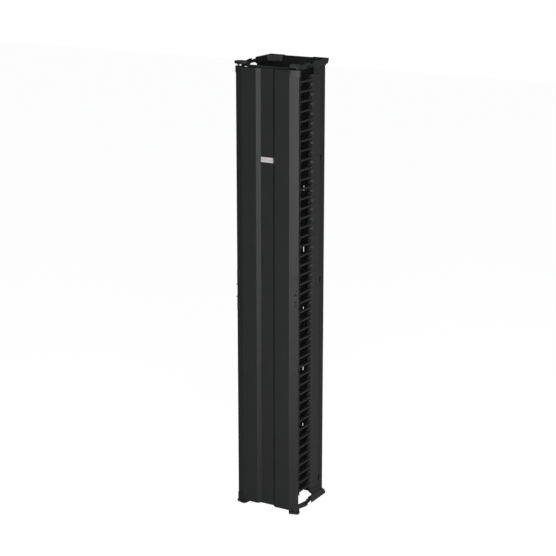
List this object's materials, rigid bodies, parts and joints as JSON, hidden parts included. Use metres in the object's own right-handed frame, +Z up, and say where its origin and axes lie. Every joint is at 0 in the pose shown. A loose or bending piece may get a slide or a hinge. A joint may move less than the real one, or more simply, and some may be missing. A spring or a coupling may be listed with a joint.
{
  "type": "vertical cable manager",
  "caption": "Tall vertical cable manager: an open duct with finger combs down its sides and a bevelled front door that swings on sliding latch rods, for use beside equipment racks.",
  "frame": {"origin": "centre of the bounding box's footprint, on the floor", "axes": "+X to the right along the door, +Y back from the door towards the rear web, +Z up"},
  "size_m": [0.336, 0.311, 2.137],
  "materials": {
    "frame_paint": "black powder coat, fine texture",
    "door_paint": "black powder coat, fine texture",
    "arm_nylon": "black glass-filled nylon",
    "bush_plastic": "dark grey acetal",
    "comb_plastic": "black moulded plastic",
    "trim_plastic": "black moulded plastic",
    "rod_steel": "dark zinc plated steel",
    "fastener_steel": "black zinc plated steel",
    "label_card": "white card, satin"
  },
  "bodies": {
    "frame": {"side_channel_left": "frame_paint", "side_channel_right": "frame_paint", "rear_web": "frame_paint", "end_rail_top_left": "frame_paint", "end_rail_top_right": "frame_paint", "end_rail_bottom_left": "frame_paint", "end_rail_bottom_right": "frame_paint", "crossbar_top": "frame_paint", "crossbar_bottom": "frame_paint", "hinge_arm_top_left": "arm_nylon", "hinge_arm_top_right": "arm_nylon", "hinge_arm_bottom_left": "arm_nylon", "hinge_arm_bottom_right": "arm_nylon", "hinge_bush_top_left": "bush_plastic", "hinge_bush_top_right": "bush_plastic", "hinge_bush_bottom_left": "bush_plastic", "hinge_bush_bottom_right": "bush_plastic", "finger_module_left_1": "comb_plastic", "finger_module_left_2": "comb_plastic", "finger_module_left_3": "comb_plastic", "finger_module_left_4": "comb_plastic", "finger_module_left_5": "comb_plastic", "finger_module_right_1": "comb_plastic", "finger_module_right_2": "comb_plastic", "finger_module_right_3": "comb_plastic", "finger_module_right_4": "comb_plastic", "finger_module_right_5": "comb_plastic", "finger_screws_left": "fastener_steel", "finger_screws_right": "fastener_steel", "arm_screws": "fastener_steel", "rail_rivets": "fastener_steel", "web_rivets": "fastener_steel", "crossbar_screws": "fastener_steel"},
    "door": {"door_skin": "door_paint", "door_stiffener": "door_paint", "door_cap_top_left": "trim_plastic", "door_cap_top_right": "trim_plastic", "door_cap_bottom_left": "trim_plastic", "door_cap_bottom_right": "trim_plastic", "rod_guides_left": "trim_plastic", "rod_guides_right": "trim_plastic", "latch_cover_left_upper": "trim_plastic", "latch_cover_left_lower": "trim_plastic", "latch_cover_right_upper": "trim_plastic", "latch_cover_right_lower": "trim_plastic", "cover_screws": "fastener_steel", "label_card": "label_card"},
    "rod_left_upper": {"latch_rod_left_upper": "rod_steel", "latch_knob_left_upper": "trim_plastic"},
    "rod_left_lower": {"latch_rod_left_lower": "rod_steel", "latch_knob_left_lower": "trim_plastic"},
    "rod_right_upper": {"latch_rod_right_upper": "rod_steel", "latch_knob_right_upper": "trim_plastic"},
    "rod_right_lower": {"latch_rod_right_lower": "rod_steel", "latch_knob_right_lower": "trim_plastic"}
  },
  "joints": [
    {"name": "door_hinge", "type": "hinge", "parent": "frame", "child": "door", "pos_m": [-0.151, -0.1355, 0], "axis": [0, 0, -1], "range_deg": [0, 170]},
    {"name": "rod_left_upper_slide", "type": "slide", "parent": "door", "child": "rod_left_upper", "axis": [0, 0, -1], "range_m": [0, 0.012]},
    {"name": "rod_left_lower_slide", "type": "slide", "parent": "door", "child": "rod_left_lower", "axis": [0, 0, 1], "range_m": [0, 0.012]},
    {"name": "rod_right_upper_slide", "type": "slide", "parent": "door", "child": "rod_right_upper", "axis": [0, 0, 1], "range_m": [0, 0.012]},
    {"name": "rod_right_lower_slide", "type": "slide", "parent": "door", "child": "rod_right_lower", "axis": [0, 0, -1], "range_m": [0, 0.012]}
  ]
}
